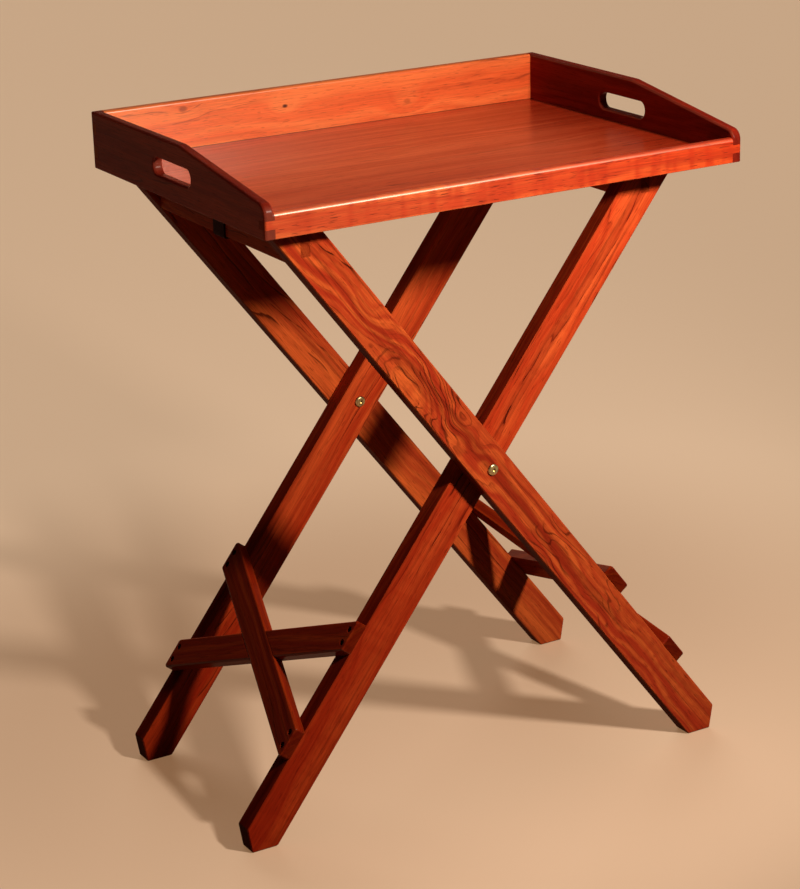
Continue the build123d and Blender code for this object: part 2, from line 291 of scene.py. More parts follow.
@dataclass(frozen=True)
class Wood:
    """Oiled and stained rosewood under brushed lacquer, one finish for each board."""

    # The eye sees broad bands of orange and red that follow the growth rings, thin dark lines that swirl and fade out,
    # wild rings in a burr, soft flames across the grain, fine fibre along the board, short open pores, a paler rub on
    # the arrises, dull end grain, darkening near the ends and sides of some boards, and the shine of the lacquer over
    # it all, which is brightest where it was built up on the rounded arrises. Painted shade darkens the narrow edges of
    # some boards, the far end of others and the whole of the brace bars.

    name: str
    grain: Point
    face: Point
    stain: Stain
    seed: Point
    cut: Cut = Cut.RIFT
    # Width of a ring, and how far the rings sway slowly and quickly.
    ring_mm: float = 5.0
    wander_mm: float = 9.0
    curl_mm: float = 1.5
    # Strength of each part of the figure, and of the lines in calm wood and at the far end.
    bands: float = 0.8
    lines: float = 0.55
    calmest: float = 0.3
    far_lines: float = 1.0
    streaks: float = 0.35
    flame: float = 0.0
    fibre: float = 0.14
    pores: float = 0.4
    # Painted shade: a tint from the near end to the far one, where along the board it starts,
    # and a tint from the face to the edges.
    near_shade_tint: str = NO_TINT
    far_shade_tint: str = NO_TINT
    far_from: float = 0.0
    face_shade_tint: str = NO_TINT
    edge_shade_tint: str = NO_TINT
    # Colour of end grain where it isn't the dark stain, and the depths in mm near the ends and sides
    # over which the board is darkened.
    end: str | None = None
    darkened_mm: Pair | None = None
    # Weight of the lacquer, what the edges have more of it, its roughness, and its shine on rounded arrises.
    coat: float = 0.06
    edge_coat: float = 0.0
    coat_roughness: float = 0.24
    shine: float = 0.0
    bare_back: bool = False
    knots: tuple[Knot, ...] = ()
    burrs: tuple[Burr, ...] = ()

    def turn(self) -> Matrix:
        """Rotation that lays the grain along X and the board's face along Z.

        Returns:
            The rotation.
        """
        along = Vector(self.grain).normalized()
        out = Vector(self.face).normalized()
        return Matrix((along, out.cross(along), out))

    def build(self, middle: Vector, half: Vector) -> Material:
        """Build the board's material.

        Args:
            middle: Middle of the board in its turned axes in mm.
            half: Half of its length, width and thickness in mm.

        Returns:
            The finished material, patterned on Object coordinates in mm from the board's middle.
        """
        material, add = new_material(self.name)
        coords = add(COORDS)
        board = add("ShaderNodeMapping", {
            "Vector": coords.outputs["Object"],
            "Rotation": self.turn().to_euler("XYZ"),
            "Scale": (1 / MM, 1 / MM, 1 / MM),
            "Location": -middle,
        })
        placed = add(VECTOR, (board, self.seed), operation="ADD")
        blank = Blank(add, coords.outputs["Normal"], board, placed, middle, half)
        along = add(RANGE, (add(SPLIT, (board,)), -half.x, half.x))
        fibre = FIBRE.noise(blank)
        pore = PORES.share(blank, most=self.pores)
        facing = self._facing(blank, self.face)
        edges = add(RANGE, (facing, *EDGE_TURN, 1.0, 0.0), **SMOOTH)
        ends = add(RANGE, (self._facing(blank, self.grain), *END_TURN, 0.0, END_STAIN), **SMOOTH)

        radius, eyes = self._rings(blank)
        burrs = [(self._scribble(blank, radius, burr), self.stain.streak) for burr in self.burrs]
        colour = self._stained(add, linear(self.stain.pale), self._figure(blank, radius, along) + burrs)
        shade = add(RANGE, (fibre, FIBRE.low, FIBRE.high, 1.0 - self.fibre, 1.0 + self.fibre), **SMOOTH)
        colour = add(VECTOR, (colour, shade), operation="SCALE")
        marks = [(pore, self.stain.streak), *eyes, *self._rub_and_darkening(blank, fibre), (ends, self.end or self.stain.dark)]
        colour = self._stained(add, colour, marks)
        # Painted shade: tints that darken the far end and the narrow edges.
        far = add(RANGE, (along, self.far_from, 1.0), **SMOOTH)
        for share, first, second in ((far, self.near_shade_tint, self.far_shade_tint), (edges, self.face_shade_tint, self.edge_shade_tint)):
            tint = add(MIX, (share, linear(first), linear(second)), **COLOURS)
            colour = add(VECTOR, (colour, tint), operation="MULTIPLY")

        relief = add(MATH, (pore, PORE_SINK, fibre), operation="MULTIPLY_ADD")
        shader = add(PRINCIPLED, {
            "Base Color": colour,
            "Roughness": add(RANGE, (fibre, 0.0, 1.0, *WOOD_ROUGHNESS), **SMOOTH),
            "Normal": add(BUMP, {"Strength": WOOD_RELIEF, "Distance": WOOD_RELIEF_MM * MM, "Height": relief}),
            **self._lacquer(blank, facing, edges, ends),
        })
        add(OUTPUT, (shader,))
        return material

    def _stained(self, add: Adder, colour: Node | tuple, layers: list[Layer]) -> Node:
        """Lay stains over a colour.

        Args:
            add: Adds a node to the material.
            colour: Colour that is stained.
            layers: Stains in order.

        Returns:
            Node of the stained colour.
        """
        for share, stain in layers:
            colour = add(MIX, (share, colour, linear(stain)), **COLOURS)
        return colour

    def _facing(self, blank: Blank, way: Point) -> Node:
        """How squarely a face looks along a line, either way: 0 for a face beside the line, 1 for one across it."""
        facing = blank.add(VECTOR, (blank.normal, Vector(way).normalized()), operation="DOT_PRODUCT")
        return blank.add(MATH, (facing,), operation="ABSOLUTE")

    def _rings(self, blank: Blank) -> tuple[Node, list[Layer]]:
        """Distance from the tree's heart, bent by the tree's growth and round the board's knots.

        Args:
            blank: The board.

        Returns:
            Node of the distance in mm, and a layer of stain for each knot's eye.
        """
        add = blank.add
        bent = add(VECTOR, (blank.board, (0.0, *self.cut.value)), operation="ADD")
        for sway, swing in ((WANDER, SWAY * self.wander_mm), (CURL, SWAY * self.curl_mm)):
            push = add(VECTOR, (sway.noise(blank).outputs["Color"], NOISE_MIDDLE), operation="SUBTRACT")
            bent = add(VECTOR, (push, (0.0, swing, swing), bent), operation="MULTIPLY_ADD")
        bent = add(VECTOR, (bent, (0.0, 1.0, 1.0)), operation="MULTIPLY")
        radius = add(VECTOR, (bent,), operation="LENGTH")
        radius = add(MATH, (SHIVER.noise(blank), self.ring_mm * SHIVER_RINGS, radius), operation="MULTIPLY_ADD")
        eyes = []
        for knot in self.knots:
            place = self.turn() @ Vector(knot.place) - blank.middle
            apart = add(VECTOR, (blank.board, place), operation="SUBTRACT")
            spread = (KNOT_ALONG / knot.reach, 1.0 / knot.reach, 0.0)
            away = add(VECTOR, (add(VECTOR, (apart, spread), operation="MULTIPLY"),), operation="LENGTH")
            fall = add(MATH, (away, away), operation="MULTIPLY")
            fall = add(MATH, (fall, -1.0), operation="MULTIPLY")
            bulge = add(MATH, (fall,), operation="EXPONENT")
            radius = add(MATH, (bulge, knot.lift, radius), operation="MULTIPLY_ADD")
            if knot.depth:
                rim = knot.eye / knot.reach
                eye = add(RANGE, (away, PUPIL * rim, rim, knot.depth, 0.0), **SMOOTH)
                eyes.append((eye, self.stain.streak))
        return radius, eyes

    def _figure(self, blank: Blank, radius: Node, along: Node) -> list[Layer]:
        """Figure of the wood: bands, lines and streaks.

        Args:
            blank: The board.
            radius: Bent distance from the tree's heart in mm.
            along: Share of the board's length, 0 at its near end.

        Returns:
            Layers of stain in order.
        """
        add = blank.add
        wide = add(MATH, (radius, self.ring_mm * BAND_RINGS), operation="DIVIDE")
        band = add(NOISE, (wide, 1.0, BAND_DETAIL, BAND_ROUGHNESS), noise_dimensions="1D")
        band = add(RANGE, (band, *BAND_LEVELS, 0.0, self.bands), **SMOOTH)

        calm = CALM.share(blank, least=self.calmest)
        phase = add(MATH, (radius, self.ring_mm), operation="DIVIDE")
        phase = add(MATH, (DRIFT.noise(blank), DRIFT_RINGS, phase), operation="MULTIPLY_ADD")
        year = add(MATH, (phase,), operation="FLOOR")
        weight = add("ShaderNodeTexWhiteNoise", (year,), noise_dimensions="1D")
        line = add("ShaderNodeValToRGB", (add(MATH, (phase,), operation="FRACT"),))
        stops = line.color_ramp.elements
        while len(stops) < len(SEASON):
            stops.new(1.0)
        for stop, (place, level) in zip(stops, SEASON):
            stop.position = place
            stop.color = (level, level, level, 1.0)
        fading = add(RANGE, (along, *FADE_ALONG, 1.0, self.far_lines), **SMOOTH)
        for factor in (weight, calm, fading, BREAKS.share(blank, least=BREAKS_LEAST)):
            line = add(MATH, (line, factor), operation="MULTIPLY")
        soft = add(MATH, (line, self.lines), operation="MULTIPLY")
        ink = add(RANGE, (line, *INK_LEVELS, 0.0, self.lines), **SMOOTH)
        vein = add(MATH, (VEINS.share(blank, most=self.streaks), calm), operation="MULTIPLY")
        return [
            (band, self.stain.warm),
            (MOTTLE.share(blank, most=MOTTLE_MOST), self.stain.warm),
            (FLAMES.share(blank, most=self.flame), self.stain.warm),
            (soft, self.stain.dark),
            (ink, self.stain.streak),
            (ZONES.share(blank, most=self.streaks), self.stain.dark),
            (vein, self.stain.streak),
        ]

    def _scribble(self, blank: Blank, radius: Node, burr: Burr) -> Node:
        """Thin dark lines of a burr, where the rings run wild.

        Args:
            blank: The board.
            radius: Bent distance from the tree's heart in mm.
            burr: The burr.

        Returns:
            Node of the lines' share.
        """
        add = blank.add
        wild = WILD.noise(blank)
        phase = add(MATH, (radius, self.ring_mm * BURR_RINGS), operation="DIVIDE")
        phase = add(MATH, (wild, WILD_RINGS, phase), operation="MULTIPLY_ADD")
        season = add(MATH, (phase, HALF_RING), operation="PINGPONG")
        line = add(RANGE, (season, *BURR_LINE, burr.strength, 0.0), **SMOOTH)
        along = add(MATH, (wild, burr.reach, add(SPLIT, (blank.board,))), operation="MULTIPLY_ADD")
        along = add(MATH, (along, burr.place + burr.reach / 2), operation="SUBTRACT")
        along = add(MATH, (along,), operation="ABSOLUTE")
        near = add(RANGE, (along, BURR_CORE * burr.reach, burr.reach, 1.0, 0.0), **SMOOTH)
        for factor in (near, GAPS.share(blank, least=GAPS_LEAST)):
            line = add(MATH, (line, factor), operation="MULTIPLY")
        return line

    def _rub_and_darkening(self, blank: Blank, fibre: Node) -> list[Layer]:
        """Darkening near the ends and sides, and a rub along the long arrises, where the stain wore thin.

        Args:
            blank: The board.
            fibre: Fibre noise that breaks the rub up.

        Returns:
            Layers of stain in order.
        """
        add = blank.add
        depths = add(VECTOR, (blank.half, add(VECTOR, (blank.board,), operation="ABSOLUTE")), operation="SUBTRACT")
        from_end, from_side, from_face = add(SPLIT, (depths,)).outputs
        layers = []
        # The board is darkened near its ends and sides.
        if self.darkened_mm:
            corner = add(MATH, (from_end, from_side), operation="MINIMUM")
            layers.append((add(RANGE, (corner, *self.darkened_mm, DARKENING, 0.0), **SMOOTH), self.stain.streak))
        rub = add(MATH, (from_side, from_face), operation="MAXIMUM")
        rub = add(RANGE, (rub, *RUB_MM, RUB, 0.0), **SMOOTH)
        layers.append((add(MATH, (rub, fibre), operation="MULTIPLY"), self.stain.pale))
        return layers

    def _lacquer(self, blank: Blank, facing: Node, edges: Node, ends: Node) -> dict[str, object]:
        """Lacquer over the wood: dull on end grain, and built up on the rounded arrises of a shiny board.

        Args:
            blank: The board.
            facing: How squarely a face looks out of the board.
            edges: Share of a narrow edge.
            ends: Share of end grain.

        Returns:
            Values for the shader's coat and its shine, by input name.
        """
        add = blank.add
        coat = add(RANGE, (edges, 0.0, 1.0, self.coat, self.coat + self.edge_coat), **SMOOTH)
        dulled = add(RANGE, (ends, 0.0, END_STAIN, 1.0, END_COAT), **SMOOTH)
        coat = add(MATH, (coat, dulled), operation="MULTIPLY")
        if self.bare_back:
            front = add(VECTOR, (blank.normal, self.face), operation="DOT_PRODUCT")
            front = add(RANGE, (front, *BACK_TURN, BACK_COAT, 1.0), **SMOOTH)
            coat = add(MATH, (coat, front), operation="MULTIPLY")
        index, sparkle = LACQUER_IOR, 0.0
        if self.shine:
            beside = self._facing(blank, self.turn()[1])
            rounded = add(RANGE, (add(MATH, (facing, beside), operation="MULTIPLY"), *ROUND_TURN), **SMOOTH)
            upward = add(RANGE, (add(SPLIT, (blank.normal,)).outputs["Z"], *UP_TURN), **SMOOTH)
            rounded = add(MATH, (rounded, upward), operation="MULTIPLY")
            sparkle = add(MATH, (rounded, self.shine), operation="MULTIPLY")
            film = add(RANGE, (sparkle, 0.0, 1.0, 0.0, FILM), **SMOOTH)
            coat = add(MATH, (coat, film), operation="MAXIMUM")
            index = add(RANGE, (rounded, 0.0, 1.0, LACQUER_IOR, FILM_IOR), **SMOOTH)
        return {
            "Specular IOR Level": sparkle,
            "Specular Tint": linear(FILM_TINT),
            "Coat Weight": coat,
            "Coat Roughness": self.coat_roughness,
            "Coat IOR": index,
        }


@dataclass(frozen=True)
class Metal:
    """A worn metal, brighter and smoother where it was rubbed."""

    name: str
    bright: str
    dull: str
    roughness: float
    # How much rougher the dull patches are, and how much smoother the bright ones.
    rougher: float = 0.15
    smoother: float = 0.1
    # Size, detail and broken edge of the patches, and the levels between which they brighten.
    patch_mm: float = 2.5
    detail: float = 5.0
    broken: float = 0.65
    levels: Pair = (0.0, 1.0)
    relief: float = 0.0
    relief_mm: float = 0.1

    def build(self) -> Material:
        """Build the metal.

        Returns:
            The finished material.
        """
        material, add = new_material(self.name)
        patch = add(NOISE, {
            "Vector": add(COORDS).outputs["Object"],
            "Scale": 1 / (self.patch_mm * MM),
            "Detail": self.detail,
            "Roughness": self.broken,
        })
        share = add(RANGE, (patch, *self.levels))
        looks = {
            "Base Color": add(MIX, (share, linear(self.dull), linear(self.bright)), **COLOURS),
            "Metallic": 1.0,
            "Roughness": add(RANGE, (patch, 0.0, 1.0, self.roughness + self.rougher, self.roughness - self.smoother)),
        }
        if self.relief:
            distance = self.relief_mm * MM
            looks["Normal"] = add(BUMP, {"Strength": self.relief, "Distance": distance, "Height": patch})
        add(OUTPUT, (add(PRINCIPLED, looks),))
        return material


# Cast brass turned to a satin face and dulled by handling: an olive yellow with brighter, rubbed patches.
BRASS = Metal(
    "satin_brass", "#D0BE90", "#8A7850", 0.3, rougher=0.14, smoother=0.08, patch_mm=4.0, detail=4.0, broken=0.6,
    levels=(0.35, 0.65), relief=0.1,
)
# Wood-screw steel left bare and dulled in the hole: grey with darker stains.
SCREW_STEEL = Metal("dulled_screw_steel", "#8B817A", "#3B332E", 0.42)
# Tack steel blued in the fire: nearly black, with a dull grey sheen.
TACK_STEEL = Metal("blued_tack_steel", "#4A4644", "#191615", 0.38)


@dataclass(frozen=True)
class Webbing:
    """Woven cotton webbing, dyed near black."""

    # The eye sees ribs across the strap with threads over and under, and a dull nap.

    name: str = "woven_cotton_webbing"
    thread: str = "#46100B"
    gap: str = "#140302"
    thread_mm: float = 1.3
    rib_mm: float = 2.0
    nap_mm: float = 10 / 9
    nap_detail: float = 3.0
    roughness: float = 0.85
    shine: float = 0.05
    sheen: float = 0.02
    sheen_roughness: float = 0.5
    relief: float = 0.7
    relief_mm: float = 0.4

    def build(self) -> Material:
        """Build the webbing on the strap's own UV map, which is in metres along and across it.

        Returns:
            The finished material.
        """
        material, add = new_material(self.name)
        place = add("ShaderNodeUVMap", uv_map=STRAP_UV)
        along, across, _ = add(SPLIT, (place,)).outputs
        waves = []
        for side, size in ((along, self.rib_mm), (across, self.thread_mm)):
            turn = add(MATH, (side, math.tau / (size * MM)), operation="MULTIPLY")
            waves.append(add(MATH, (turn,), operation="SINE"))
        height = add(RANGE, (add(MATH, tuple(waves), operation="MULTIPLY"), -1.0))
        nap = add(NOISE, (place, 1 / (self.nap_mm * MM), self.nap_detail))
        share = add(MATH, (height, nap), operation="MULTIPLY")
        shader = add(PRINCIPLED, {
            "Base Color": add(MIX, (share, linear(self.gap), linear(self.thread)), **COLOURS),
            "Roughness": self.roughness,
            "Specular IOR Level": self.shine,
            "Sheen Weight": self.sheen,
            "Sheen Roughness": self.sheen_roughness,
            "Normal": add(BUMP, {"Strength": self.relief, "Distance": self.relief_mm * MM, "Height": height}),
        })
        add(OUTPUT, (shader,))
        return material


def dress(node: str, wood: Wood) -> Piece:
    """Give a CAD board its wood.

    Args:
        node: Name of the CAD node.
        wood: Finish of the board.

    Returns:
        The dressed board.
    """
    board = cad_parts[node]
    corners = np.empty(len(board.data.vertices) * 3)
    board.data.vertices.foreach_get("co", corners)
    corners = corners.reshape(-1, 3) @ np.array(wood.turn()).T / MM
    low, high = Vector(corners.min(axis=0)), Vector(corners.max(axis=0))
    board.data.materials.clear()
    board.data.materials.append(wood.build((low + high) / 2, (high - low) / 2))
    return board


def into_scene(name: str, data: bpy.types.ID) -> Piece:
    """Put a mesh, a lamp or a camera into the scene as an unturned object at the origin.

    Args:
        name: Name of the object.
        data: What it holds.

    Returns:
        The new object.
    """
    item = bpy.data.objects.new(name, data)
    bpy.context.scene.collection.objects.link(item)
    return item


def settled(item: Piece, *helpers: Piece) -> Mesh:
    """Turn an object with its modifiers into a plain mesh, and clear it and its helpers away.

    Args:
        item: Object with the modifiers.
        helpers: Objects that its modifiers use.

    Returns:
        The plain mesh.
    """
    mesh = bpy.data.meshes.new_from_object(item.evaluated_get(bpy.context.evaluated_depsgraph_get()))
    for spent in (item, *helpers):
        bpy.data.objects.remove(spent)
    return mesh


def closed_mesh(shape: bmesh.types.BMesh, name: str) -> Mesh:
    """Turn a closed shape's faces outwards and hand it over as a smooth mesh.

    Args:
        shape: The shape, which is freed.
        name: Name of the mesh.

    Returns:
        The mesh.
    """
    bmesh.ops.recalc_face_normals(shape, faces=shape.faces)
    mesh = bpy.data.meshes.new(name)
    shape.to_mesh(mesh)
    shape.free()
    mesh.polygons.foreach_set("use_smooth", [True] * len(mesh.polygons))
    return mesh


def quarter_turn(steps: int) -> list[float]:
    """Angles of a quarter turn in equal steps."""
    return [k * math.pi / (2 * steps) for k in range(steps + 1)]


# Distance in metres at which the corners on a turned shape's axis are merged.
MERGE_REACH = 1e-7
# Sharpest bend in degrees that still looks smooth on a turned head, and on one with a recess.
TURNED_CREASE = 40.0
CARVED_CREASE = 32.0
# How far the recess's cutter stands above the head in mm.
CUTTER_PAST = 1.0
# Half width of a cross recess's arm, as a share of its reach.
CROSS_ARM = 0.26


class DriveRecess(Enum):
    """Recess in a fastener's head for its driver."""

    CROSS = "cross"
    HEX = "hex"
    NONE = "none"

    def outline(self, reach: float) -> list[Pair]:
        """Outline of the recess.

        Args:
            reach: Distance from the axis to its corners or arm ends in mm.

        Returns:
            Corners in order.
        """
        if self is DriveRecess.HEX:
            return [(reach * math.cos(k * math.pi / 3), reach * math.sin(k * math.pi / 3)) for k in range(6)]
        half = reach * CROSS_ARM
        arm = [(reach, -half), (reach, half), (half, half)]
        quarters = [Matrix.Rotation(k * math.pi / 2, 2) for k in range(4)]
        return [tuple(quarter @ Vector(corner)) for quarter in quarters for corner in arm]


@dataclass(frozen=True)
class Fastener:
    """A turned fastener in mm: the radius and height of its profile from crown to tip, and its drive recess."""

    profile: tuple[Pair, ...]
    recess: DriveRecess = DriveRecess.NONE
    recess_reach: float = 0.0
    recess_floor: float = 0.0
    segments: int = 32

    def mesh(self) -> Mesh:
        """Make one fastener along Z with the seat of its head at the origin.

        Returns:
            The fastener's mesh, smooth with sharp edges kept.
        """
        if self.recess is DriveRecess.NONE:
            mesh, crease = self._turned(), TURNED_CREASE
        else:
            mesh, crease = self._carved(), CARVED_CREASE
        mesh.set_sharp_from_angle(angle=math.radians(crease))
        return mesh

    def _turned(self) -> Mesh:
        """Turn the profile about Z.

        Returns:
            A closed mesh with outward faces.
        """
        shape = bmesh.new()
        corners = [shape.verts.new((radius * MM, 0.0, height * MM)) for radius, height in self.profile]
        edges = [shape.edges.new(pair) for pair in zip(corners, corners[1:])]
        bmesh.ops.spin(
            shape, geom=corners + edges, cent=(0, 0, 0), axis=UP, angle=math.tau, steps=self.segments, use_merge=True
        )
        bmesh.ops.remove_doubles(shape, verts=shape.verts, dist=MERGE_REACH)
        return closed_mesh(shape, "turned")

    def _carved(self) -> Mesh:
        """Cut the recess out of the turned head.

        Returns:
            The cut mesh.
        """
        outline = self.recess.outline(self.recess_reach)
        rise = max(height for _, height in self.profile) + CUTTER_PAST - self.recess_floor
        shape = bmesh.new()
        base = shape.faces.new([shape.verts.new((x * MM, y * MM, self.recess_floor * MM)) for x, y in outline])
        raised = bmesh.ops.extrude_face_region(shape, geom=[base])
        tops = [item for item in raised["geom"] if isinstance(item, bmesh.types.BMVert)]
        bmesh.ops.translate(shape, verts=tops, vec=(0, 0, rise * MM))
        body = into_scene("carve_body", self._turned())
        cutter = into_scene("carve_tool", closed_mesh(shape, "raised"))
        cut = body.modifiers.new("cut", "BOOLEAN")
        cut.object = cutter
        cut.operation = "DIFFERENCE"
        cut.solver = "EXACT"
        return settled(body, cutter)


@dataclass
class FastenerRow:
    """Fasteners of one kind on one body, set out by Geometry Nodes."""

    name: str
    body: str
    slot: str
    fastener: Fastener
    seats: list[Seat]
    replaces: tuple[str, ...]
    seed: int

    def build(self, material: Material) -> Piece:
        """Set the fasteners on their seats and turn the result into a plain mesh.

        Args:
            material: Finish of the fasteners.

        Returns:
            The finished piece, riding on its body.
        """
        points = bpy.data.meshes.new(self.name + "_seats")
        points.from_pydata([tuple(seat) for seat, _ in self.seats], [], [])
        turns = points.attributes.new("turn", "FLOAT_VECTOR", "POINT")
        for row, (_, axis) in zip(turns.data, self.seats):
            row.vector = axis.to_track_quat("Z", "Y").to_euler("XYZ")
        template = into_scene(self.name + "_template", self.fastener.mesh())
        template.data.materials.append(material)
        holder = into_scene(self.name + "_holder", points)
        tree, keys = self._tree()
        setter = holder.modifiers.new("set_out", "NODES")
        setter.node_group = tree
        given = {"Fastener": template, "Finish": material, "Size": 1.0, "Seed": self.seed}
        for name, value in given.items():
            setter[keys[name]] = value
        piece = into_scene(self.name, settled(holder, template))
        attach(piece, self.body)
        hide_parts(*self.replaces)
        return piece

    def _tree(self) -> tuple[Tree, dict[str, str]]:
        """Build the tree that sets a fastener on every seat and spins it by chance.

        Returns:
            The tree, and the identifier of each of its named inputs.
        """
        tree = bpy.data.node_groups.new(self.name + "_set_out", "GeometryNodeTree")
        keys = {}
        for name, kind in (
            ("Seats", "NodeSocketGeometry"),
            ("Fastener", "NodeSocketObject"),
            ("Finish", "NodeSocketMaterial"),
            ("Size", "NodeSocketFloat"),
            ("Seed", "NodeSocketInt"),
        ):
            keys[name] = tree.interface.new_socket(name, in_out="INPUT", socket_type=kind).identifier
        tree.interface.new_socket("Geometry", in_out="OUTPUT", socket_type="NodeSocketGeometry")
        add = partial(add_node, tree)
        given = add("NodeGroupInput").outputs
        shape = add("GeometryNodeObjectInfo", {"Object": given["Fastener"]}, transform_space="ORIGINAL")
        turn = add("GeometryNodeInputNamedAttribute", {"Name": "turn"}, data_type="FLOAT_VECTOR")
        placed = add("GeometryNodeInstanceOnPoints", {
            "Points": given["Seats"],
            "Instance": shape.outputs["Geometry"],
            "Rotation": add("FunctionNodeEulerToRotation", (turn,)),
            "Scale": given["Size"],
        })
        spin = add("FunctionNodeRandomValue", {2: 0.0, 3: math.tau, "Seed": given["Seed"]}, data_type="FLOAT")
        axis = add("FunctionNodeAxisAngleToRotation", {"Axis": UP, "Angle": spin})
        spun = add("GeometryNodeRotateInstances", {"Instances": placed, "Rotation": axis, "Local Space": True})
        real = add("GeometryNodeRealizeInstances", (spun,))
        dressed = add("GeometryNodeSetMaterial", {"Geometry": real, "Material": given["Finish"]})
        add("NodeGroupOutput", (dressed,))
        return tree, keys


WALL_STAIN = Stain(pale="#F58A4C", warm="#DE5C2C", dark="#97321A", streak="#45130A")
RAIL_STAIN = Stain(pale="#E5743C", warm="#B53D1D", dark="#742012", streak="#3A0F08")
SIDE_STAIN = Stain(pale="#BE4228", warm="#96281A", dark="#62180E", streak="#300B07")
PANEL_STAIN = Stain(pale="#E6663A", warm="#C84824", dark="#922B17", streak="#4A160C")
OUTER_STAIN = Stain(pale="#D8622B", warm="#A83319", dark="#62180A", streak="#260A05")
INNER_STAIN = Stain(pale="#E8642F", warm="#C03A1A", dark="#7C1C0C", streak="#340E07")
# Painted shade: tints that darken the legs' narrow faces and the whole of the brace bars.
LEG_EDGE_SHADE = "#BBA8A4"
BRACE_SHADE = "#B48E7C"


@dataclass
class Tray:
    """The lift-off tray: five boards, box-jointed at the corners, in mm."""

    wall_knots: tuple[Knot, ...] = (
        Knot((-50.6, 214.5, 815.8), 13.0, 15.0, 3.2, 0.95),
        Knot((130.2, 214.5, 800.0), 17.0, 22.0, 4.5, 0.35),
        Knot((-194.0, 214.5, 829.8), 14.0, 9.0, 5.0, 0.55),
    )
    # Depths in mm near the panel's ends and sides over which it is darkened.
    darkened_mm: Pair = (5.0, 14.0)

    def dress(self) -> list[Piece]:
        """Dress the tray's boards, each with its own piece of wood.

        Returns:
            The dressed boards.
        """
        # The back wall and the front rail are darkened towards their right ends as painted shade.
        back = dress("tray_back", Wood(
            "stained_rosewood_back_wall", RIGHT, FRONT, WALL_STAIN, (310.0, 15.0, 40.0), ring_mm=7.5, wander_mm=8.0,
            lines=0.35, streaks=0.2, fibre=0.1, far_shade_tint="#EED4C6", coat=0.9, coat_roughness=0.3, knots=self.wall_knots,
        ))
        rail = dress("tray_front_rail", Wood(
            "stained_rosewood_front_rail", RIGHT, FRONT, RAIL_STAIN, (920.0, 260.0, 90.0), ring_mm=7.0, wander_mm=7.0,
            lines=0.3, bands=1.0, flame=0.8, pores=0.7, far_shade_tint="#F7C7A7", edge_coat=0.6, coat=0.4,
            coat_roughness=0.42, shine=1.0,
        ))
        sides = [
            dress("tray_" + side, Wood(
                "stained_rosewood_" + side, BACK, RIGHT, SIDE_STAIN, seed, ring_mm=6.5, lines=0.5, face_shade_tint=face,
                edge_shade_tint=edge, edge_coat=coat, end=end, coat=0.12, shine=shine,
            ))
            for side, seed, end, face, edge, coat, shine in (
                # Per side: seed, end grain colour, painted shade tints for the face and the rims, edge coat and shine.
                ("side_left", (40.0, 510.0, 70.0), "#A8604E", NO_TINT, "#B4A8A2", 0.5, 0.0),
                ("side_right", (620.0, 730.0, 20.0), "#702820", "#C8B0AC", "#C8A498", 0.3, 0.8),
            )
        ]
        # The panel is darkened towards its right end as painted shade.
        panel = dress("tray_floor", Wood(
            "stained_rosewood_panel", RIGHT, UP, PANEL_STAIN, (150.0, 330.0, 10.0), Cut.QUARTER, ring_mm=9.0,
            wander_mm=12.0, lines=0.35, bands=0.7, streaks=0.3, fibre=0.06, far_shade_tint="#CCA098", far_from=0.7,
            darkened_mm=self.darkened_mm, coat=0.9, coat_roughness=0.22, bare_back=True,
        ))
        return [back, rail, *sides, panel]


# Swirls in the figure of the front leg: place down the leg from the pivot and across it, reach and lift in mm.
LEG_SWIRLS = (
    (-281.0, 3.6, 21.0, 11.0),
    (-174.0, -4.2, 24.0, -13.0),
    (-88.0, 9.0, 12.0, 7.5),
    (-62.0, -8.0, 11.0, -7.0),
    (-36.0, 7.0, 10.0, 6.5),
    (-14.0, -3.0, 9.0, -5.5),
    (310.0, 2.0, 16.0, 8.0),
)
LEG_BURRS = (Burr(-185.0, 110.0, 0.75), Burr(110.0, 55.0, 0.6), Burr(220.0, 45.0, 0.5))


